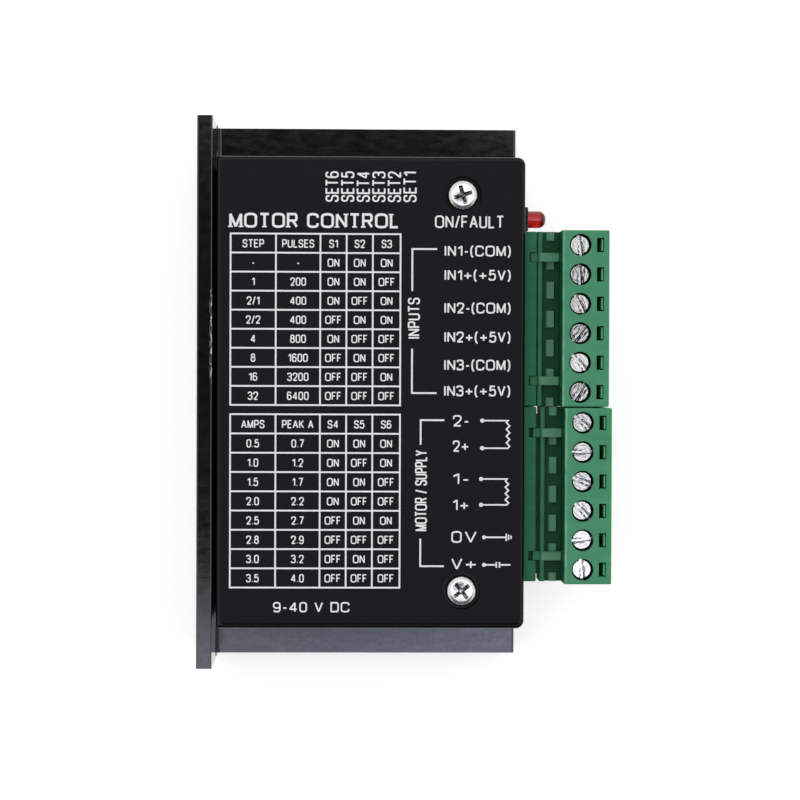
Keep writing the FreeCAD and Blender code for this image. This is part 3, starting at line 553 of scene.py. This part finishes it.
# ---------------------------------------------------------------- printing: the tool
# Letters are drawn as ribbons, one cap height tall. Each has its width and its strokes: a plain
# stroke is straight between its points, ~ marks one with rounded corners, o a rounded closed one.
GLYPHS = {
    "0": (0.5, "o0,0 .5,0 .5,.5 .5,1 0,1 0,.5"),
    "1": (0.28, "0,.76 .28,1 .28,0"),
    "2": (0.5, "~0,.68 0,1 .5,1 .52,.58 .02,0 .02,0;.0,0 .5,0"),
    "3": (0.5, "~.02,.8 0,1 .48,1 .48,.53 .16,.53;~.16,.53 .5,.53 .5,0 0,0 0,.22"),
    "4": (0.56, ".41,0 .41,1 0,.27 .56,.27"),
    "5": (0.5, ".46,1 .08,1 .03,.5;~.03,.5 .14,.64 .5,.66 .5,0 0,0 0,.22"),
    "6": (0.5, "o0,0 .5,0 .5,.6 0,.6;~.46,.84 .44,1 0,1.03 0,.3"),
    "7": (0.48, "0,1 .48,1 .16,0"),
    "8": (0.5, "o.04,.55 .46,.55 .46,1 .04,1;o0,0 .5,0 .5,.54 0,.54"),
    "9": (0.5, "o0,.4 .5,.4 .5,1 0,1;~.04,.16 .06,0 .5,-.03 .5,.7"),
    "A": (0.6, "0,0 .3,1 .6,0;.11,.33 .49,.33"),
    "C": (0.6, "~.6,.72 .55,1 0,1 0,.5 0,0 .55,0 .6,.28"),
    "D": (0.56, "0,0 0,1 .2,1;~.2,1 .56,1 .56,.5 .56,0 .2,0;.2,0 0,0"),
    "E": (0.46, ".46,0 0,0 0,1 .46,1;0,.52 .42,.52"),
    "F": (0.45, "0,0 0,1 .45,1;0,.5 .38,.5"),
    "I": (0.0, "0,0 0,1"),
    "K": (0.54, "0,0 0,1;.52,1 0,.4;.18,.6 .54,0"),
    "L": (0.42, "0,1 0,0 .42,0"),
    "M": (0.66, "0,0 0,1 .33,0 .66,1 .66,0"),
    "N": (0.56, "0,0 0,1 .56,0 .56,1"),
    "O": (0.66, "o0,0 .66,0 .66,.5 .66,1 0,1 0,.5"),
    "P": (0.5, "0,0 0,1 .25,1;~.25,1 .5,1 .5,.45 .25,.45;.25,.45 0,.45"),
    "R": (0.54, "0,0 0,1 .28,1;~.28,1 .52,1 .52,.48 .28,.48;.28,.48 0,.48;.3,.48 .54,0"),
    "S": (0.52, "~.5,.74 .48,1 .02,1 0,.54 .52,.5 .52,0 .02,0 0,.26"),
    "T": (0.54, "0,1 .54,1;.27,1 .27,0"),
    "U": (0.54, "0,1 0,.4;~0,.4 0,0 .54,0 .54,.4;.54,.4 .54,1"),
    "V": (0.58, "0,1 .29,0 .58,1"),
    "Y": (0.56, "0,1 .28,.45 .56,1;.28,.45 .28,0"),
    "-": (0.26, "0,.4 .26,.4"),
    "+": (0.6, "0,.43 .6,.43;.3,.11 .3,.75"),
    "/": (0.3, "0,-.03 .3,1.03"),
    ".": (0.06, ".03,0 .03,.07"),
    "(": (0.16, "~.16,1.08 0,.8 0,.1 .16,-.18"),
    ")": (0.16, "~0,1.08 .16,.8 .16,.1 0,-.18"),
    " ": (0.18, ""),
}
LETTER_GAP = 0.27
SERIF = 0.15
INK_SUNK, INK_RISE = 0.03, 0.012
INK_STEP = 0.003               # crossing strokes lie in different planes, one step apart
LABEL_TOP = node_box("label")[1].z


def on_label(u, v, rise):
    return place(u, v, LABEL_TOP + rise)


def rounded(points, closed):
    """Cuts the corners twice, so that they come out round."""
    for _ in range(2):
        ends = points[1:] + points[:1] if closed else points[1:]
        cut = [a.lerp(b, part) for a, b in zip(points, ends) for part in (0.25, 0.75)]
        points = cut if closed else points[:1] + cut + points[-1:]
    return points


def split_at_points(points):
    """Cuts a straight-sided stroke at its sharpest corners, where a mitre would reach too far."""
    runs = [points[:1]]
    for before, point, after in zip(points, points[1:], points[2:]):
        runs[-1].append(point)
        if (point - before).normalized().dot((after - point).normalized()) < -0.45:
            runs.append([point])
    runs[-1].append(points[-1])
    return runs


def ribbon(mesh, path, width, closed=False, sheet=on_label, layer=0):
    """Closed strip of even width and mitred corners that follows a path over a printed face."""
    path = [point for k, point in enumerate(path)
            if k == 0 or (point - path[k - 1]).length > 1e-6]
    top = INK_RISE + INK_STEP * layer
    rings = []
    for k, point in enumerate(path):
        before = (point - path[k - 1]).normalized() if k or closed else None
        onward = closed or k + 1 < len(path)
        after = (path[(k + 1) % len(path)] - point).normalized() if onward else None
        before, after = before or after, after or before
        ahead = (before + after).normalized()
        across = Vector((-ahead.y, ahead.x))
        lean = across.dot(Vector((-after.y, after.x)))
        reach = across * (width / 2 / max(lean, 0.45))
        corners = ((point - reach, -INK_SUNK), (point + reach, -INK_SUNK),
                   (point + reach, top), (point - reach, top))
        rings.append([mesh.verts.new(sheet(spot.x, spot.y, rise)) for spot, rise in corners])
    pairs = list(zip(rings, rings[1:] + rings[:1] if closed else rings[1:]))
    for first, second in pairs:
        for k in range(4):
            n = (k + 1) % 4
            mesh.faces.new((first[k], first[n], second[n], second[k]))
    if not closed:
        mesh.faces.new(rings[0][::-1])
        mesh.faces.new(rings[-1])


def letters(mesh, text, u, v, height, stroke, width=None, turned=False, centred=True, serifs=False,
            sheet=on_label):
    """Lettering with its middle or its left end at u, v, fitted to a width if one is given."""
    cap = height - stroke
    widths = [GLYPHS[letter][0] for letter in text]
    natural = sum(widths) + LETTER_GAP * (len(text) - 1)
    spread = (width - stroke) / (natural * cap) if width else 1.0
    start = -natural / 2 if centred else stroke / 2 / cap / spread
    for letter, letter_width in zip(text, widths):
        strokes = []
        for drawn in filter(None, GLYPHS[letter][1].split(";")):
            closed, curved = drawn[0] == "o", drawn[0] in "~o"
            points = [Vector([float(part) for part in point.split(",")])
                      for point in drawn.lstrip("~o").split()]
            if serifs and not curved:
                for end, other in ((points[0], points[1]), (points[-1], points[-2])):
                    if end.y in (0.0, 1.0) and abs(end.y - other.y) > 0.5:
                        foot = [end - Vector((SERIF, 0)), end + Vector((SERIF, 0))]
                        strokes.append((foot, False, stroke * 0.55))
            runs = [rounded(points, closed)] if curved else split_at_points(points)
            strokes += [(run, closed, stroke) for run in runs]
        for layer, (points, closed, thickness) in enumerate(strokes):
            path = []
            for point in points:
                along, up = (start + point.x) * spread * cap, (point.y - 0.5) * cap
                path.append(Vector((u - up, v + along) if turned else (u + along, v + up)))
            ribbon(mesh, path, thickness, closed, sheet, layer)
        start += letter_width + LETTER_GAP


def line(mesh, points, width, layer=0):
    ribbon(mesh, [Vector(point) for point in points], width, layer=layer)


def dot(mesh, u, v, radius):
    """Small disc, as one closed ribbon round its middle."""
    turns = [math.radians(22.5 * k) for k in range(16)]
    ribbon(mesh, [Vector((u, v)) + radius / 2 * Vector((math.cos(t), math.sin(t))) for t in turns],
           radius, closed=True, layer=1)


def add_print(name, mesh, ink):
    add_piece(name, finished_mesh(name, mesh), ink, "module")


# ---------------------------------------------------------------- printing: the label
ON, OFF = "ON", "OFF"
STEP_TABLE = [
    ("STEP", "PULSES", "S1", "S2", "S3"),
    ("-", "-", ON, ON, ON),
    ("1", "200", ON, ON, OFF),
    ("2/1", "400", ON, OFF, ON),
    ("2/2", "400", OFF, ON, ON),
    ("4", "800", ON, OFF, OFF),
    ("8", "1600", OFF, ON, OFF),
    ("16", "3200", OFF, OFF, ON),
    ("32", "6400", OFF, OFF, OFF),
]
CURRENT_TABLE = [
    ("AMPS", "PEAK A", "S4", "S5", "S6"),
    ("0.5", "0.7", ON, ON, ON),
    ("1.0", "1.2", ON, OFF, ON),
    ("1.5", "1.7", ON, ON, OFF),
    ("2.0", "2.2", ON, OFF, OFF),
    ("2.5", "2.7", OFF, ON, ON),
    ("2.8", "2.9", OFF, OFF, OFF),
    ("3.0", "3.2", OFF, ON, OFF),
    ("3.5", "4.0", OFF, OFF, OFF),
]
TABLE_COLUMNS = (5.85, 13.7, 21.4, 25.95, 30.5, 35.3)
TABLE_LINE = 0.29
SYMBOL_LINE = 0.3


def print_tables(ink):
    """Both settings tables, each between the heights of its top and bottom line."""
    mesh = bmesh.new()
    for table, top, bottom in ((STEP_TABLE, 27.55, -2.15), (CURRENT_TABLE, -3.75, -33.85)):
        left, right = TABLE_COLUMNS[0], TABLE_COLUMNS[-1]
        levels = [top + (bottom - top) * k / len(table) for k in range(len(table) + 1)]
        for v in levels:
            line(mesh, [(left - TABLE_LINE / 2, v), (right + TABLE_LINE / 2, v)], TABLE_LINE)
        for row, upper, lower in zip(table, levels, levels[1:]):
            for u in TABLE_COLUMNS:
                line(mesh, [(u, upper), (u, lower)], TABLE_LINE, layer=1)
            for text, start, end in zip(row, TABLE_COLUMNS, TABLE_COLUMNS[1:]):
                letters(mesh, text, (start + end) / 2, (upper + lower) / 2 - 0.05, 1.45, 0.205)
    add_print("printed_tables", mesh, ink)


def print_words(ink):
    """Each text with the place of its middle or left end, its height and its stroke."""
    mesh = bmesh.new()
    letters(mesh, "MOTOR CONTROL", 20.3, 29.85, 2.6, 0.42, width=29.4, serifs=True)
    for k in range(6):
        letters(mesh, "SET%d" % (6 - k), 23.4 + 2.7 * k, 35.75, 2.3, 0.29, width=5.3, turned=True)
    letters(mesh, "ON/FAULT", 47.25, 29.75, 2.2, 0.29, width=12.0)
    for text, v in (("IN1-(COM)", 24.7), ("IN1+(+5V)", 20.5), ("IN2-(COM)", 14.8),
                    ("IN2+(+5V)", 9.75), ("IN3-(COM)", 4.9), ("IN3+(+5V)", 0.4)):
        letters(mesh, text, 42.95, v, 1.9, 0.28, width=11.5, centred=False)
    letters(mesh, "INPUTS", 37.65, 13.0, 2.1, 0.28, width=7.1, turned=True)
    letters(mesh, "MOTOR / SUPPLY", 39.0, -16.95, 2.1, 0.27, width=14.1, turned=True)
    for text, v in (("2-", -4.8), ("2+", -9.2), ("1-", -14.9), ("1+", -19.45)):
        letters(mesh, text, 44.5, v, 2.0, 0.27, width=2.8, centred=False)
    letters(mesh, "0V", 46.5, -25.0, 2.05, 0.28, width=4.4)
    letters(mesh, "V+", 46.5, -29.7, 2.05, 0.28, width=4.4)
    letters(mesh, "9-40 V DC", 20.0, -37.25, 1.8, 0.26, width=13.3)
    add_print("printed_words", mesh, ink)


def print_symbols(ink):
    """Brackets round the rows of terminals, and what each pair of them connects to."""
    mesh = bmesh.new()
    # brackets that gather the input rows, and the motor and supply rows
    for u, top, bottom, reach, gap_top, gap_bottom in ((37.35, 25.0, 0.0, 4.3, 17.7, 7.7),
                                                       (38.9, -4.7, -30.1, 4.1, -9.0, -25.3)):
        line(mesh, [(u + reach, top), (u, top), (u, gap_top)], SYMBOL_LINE)
        line(mesh, [(u, gap_bottom), (u, bottom), (u + reach, bottom)], SYMBOL_LINE)
    # motor windings
    for u, top, bottom in ((49.6, -4.75, -9.55), (49.45, -14.9, -19.4)):
        side, teeth = u + 4.5, 7
        zigzag = [(side + (0.28 if k % 2 else -0.28), top - 0.35 + (bottom - top + 0.7) * k / teeth)
                  for k in range(teeth + 1)]
        line(mesh, [(u, top), (side, top)] + zigzag + [(side, bottom), (u, bottom)], 0.26)
        dot(mesh, u, top, 0.36)
        dot(mesh, u, bottom, 0.36)
    # ground: a line into a stack of shortening bars
    ground = -25.05
    line(mesh, [(50.0, ground), (53.7, ground)], 0.28)
    dot(mesh, 50.0, ground, 0.34)
    for k, half in enumerate((0.65, 0.47, 0.29)):
        bar = 53.85 + 0.42 * k
        line(mesh, [(bar, ground - half), (bar, ground + half)], 0.26, layer=1)
    # supply: two plates in a line
    supply = -29.85
    line(mesh, [(50.0, supply), (52.0, supply)], 0.28)
    line(mesh, [(52.85, supply), (54.6, supply)], 0.28)
    dot(mesh, 50.0, supply, 0.34)
    for u in (52.15, 52.7):
        line(mesh, [(u, supply - 0.5), (u, supply + 0.5)], 0.26)
    add_print("printed_symbols", mesh, ink)


def print_switch(ink):
    """Numbers under the switch's sliders, on the face that looks out of the cover's +Y side."""
    face_y = node_box("dip_switch_body")[1].y
    middle_x = middle("dip_switch_body").x

    def on_switch(u, v, rise):
        return place(middle_x - u, face_y + rise, v)

    stroke = 0.19
    mesh = bmesh.new()
    for number in range(1, 7):
        u = SWITCH_PITCH * (number - 3.5)
        letters(mesh, "%d" % number, u, 23.0, 1.3, stroke, sheet=on_switch)
    letters(mesh, "ON", -6.3, 28.8, 1.2, stroke, width=2.0, sheet=on_switch)
    add_print("printed_switch", mesh, ink)


# ---------------------------------------------------------------- inside the lamp
def lamp_frame():
    """The two metal posts inside the lens: one carries the reflector cup."""
    low, high = node_box("led_lens")
    y, z = (low.y + high.y) / 2, (low.z + high.z) / 2
    spread, stem, half_thick = 0.62, 0.2, 0.3
    mesh = bmesh.new()
    for side, reach, half in ((-1, 2.9, 0.62), (1, 2.3, 0.35)):
        x0, x1 = low.x + 0.3, low.x + 1.2 + reach
        axis = y + side * spread
        head = half * 0.7
        outline = [(x0, axis - stem), (x1 - 1.0, axis - stem), (x1 - 0.8, axis - head),
                   (x1, axis - head), (x1, axis + head), (x1 - 0.8, axis + head),
                   (x1 - 1.0, axis + stem), (x0, axis + stem)]
        add_prism(mesh, outline, z - half_thick, z + half_thick)
    bmesh.ops.bevel(mesh, geom=mesh.edges[:], offset=0.00006, segments=2, affect="EDGES")
    steel = plated_metal("lamp_frame", rgb(0.72, 0.7, 0.68), rgb(0.88, 0.87, 0.85), 0.3, 0.15)
    add_piece("lamp_frame", finished_mesh("lamp_frame", mesh), steel, "module")


# ---------------------------------------------------------------- floor, light and camera
def floor():
    s = Surface("floor", Emission_Color=rgb(1, 1, 1), Emission_Strength=0.56)
    soft = s.noise(60.0, detail=3.0)
    s.set("Base Color", s.blend(soft, rgb(0.83, 0.83, 0.83), rgb(0.86, 0.86, 0.86)))
    s.set("Roughness", s.fade(soft, 0.3, 0.7, 0.6, 0.7))
    mesh = bmesh.new()
    half, gap = 4.0, 0.0001        # metres
    corners = [mesh.verts.new((x, y, CAD_LOW.z - gap)) for x, y in
               ((-half, -half), (half, -half), (half, half), (-half, half))]
    mesh.faces.new(corners)
    data = bpy.data.meshes.new("floor")
    mesh.to_mesh(data)
    mesh.free()
    data.materials.append(s.material)
    ground = bpy.data.objects.new("floor", data)
    bpy.context.scene.collection.objects.link(ground)


def studio_light():
    """Even white surroundings with a dim patch overhead, a lamp by it and a dim side to -Y."""
    world = bpy.data.worlds.new("studio")
    world.use_nodes = True
    bpy.context.scene.world = world
    nodes, links = world.node_tree.nodes, world.node_tree.links
    background = nodes["Background"]
    where = nodes.new("ShaderNodeTexCoord")

    def node(kind, inputs, output=0, **settings):
        return add_node(world.node_tree, kind, inputs, output, **settings)

    def fade(value, start, end, low, high):
        return node("ShaderNodeMapRange", {0: value, 1: start, 2: end, 3: low, 4: high},
                    interpolation_type="SMOOTHSTEP")

    def times(a, b):
        return node("ShaderNodeMath", {0: a, 1: b}, operation="MULTIPLY")

    def away(looking, point):
        return node("ShaderNodeVectorMath", {0: looking, 1: point}, operation="DISTANCE",
                    output="Value")

    overhead = (0.0, 0.0, 1.0)
    lamp_way = (0.04, -0.15, 0.988)
    patch_way = (0.0, 0.01, 1.0)
    direction = where.outputs["Generated"]
    x = node("ShaderNodeSeparateXYZ", {0: direction}, output="X")
    y = node("ShaderNodeSeparateXYZ", {0: direction}, output="Y")
    ceiling = fade(away(direction, overhead), 0.38, 0.62, 1.5, 0.85)
    side = node("ShaderNodeMath", {0: x}, operation="ABSOLUTE")
    shade = times(fade(y, -0.2, -0.34, 0.0, 0.85), fade(side, 0.85, 0.5, 0.0, 1.0))
    lit = times(ceiling, node("ShaderNodeMath", {0: 1.0, 1: shade}, operation="SUBTRACT"))
    lamp = fade(away(direction, lamp_way), 0.15, 0.05, 0.0, 1.0)
    glow = node("ShaderNodeMath", {0: lamp, 1: 1.2, 2: lit}, operation="MULTIPLY_ADD")
    squeezed = node("ShaderNodeVectorMath", {0: direction, 1: (0.8, 1.0, 1.0)},
                    operation="MULTIPLY")
    strength = times(glow, fade(away(squeezed, patch_way), 0.107, 0.124, 0.02, 1.0))
    white, bluish = rgb(1.0, 1.0, 1.0), rgb(0.9, 0.93, 1.25)
    tint = node("ShaderNodeMix", {0: lamp, 6: white, 7: bluish}, output=2, data_type="RGBA")
    seen = node("ShaderNodeLightPath", {}, output="Is Camera Ray")
    strength = node("ShaderNodeMix", {0: seen, 2: strength, 3: 1.0}, data_type="FLOAT")
    links.new(tint, background.inputs["Color"])
    links.new(strength, background.inputs["Strength"])
    bpy.context.scene.view_settings.view_transform = "Standard"


def camera():
    """Looks down on the module from nearly half a metre up."""
    tilt = (-0.83, -1.49, 0.2)     # degrees
    data = bpy.data.cameras.new("camera")
    data.lens = 111.7
    data.sensor_width = 36.0
    data.clip_start, data.clip_end = 0.01, 20.0
    view = bpy.data.objects.new("camera", data)
    view.location = place(24.06, 4.99, 463.83)
    view.rotation_euler = Euler([math.radians(angle) for angle in tilt])
    bpy.context.scene.collection.objects.link(view)
    bpy.context.scene.camera = view


finish_nodes()
white = white_ink()
print_tables(white)
print_words(white)
print_symbols(white)
print_switch(white)
lamp_frame()
floor()
studio_light()
camera()
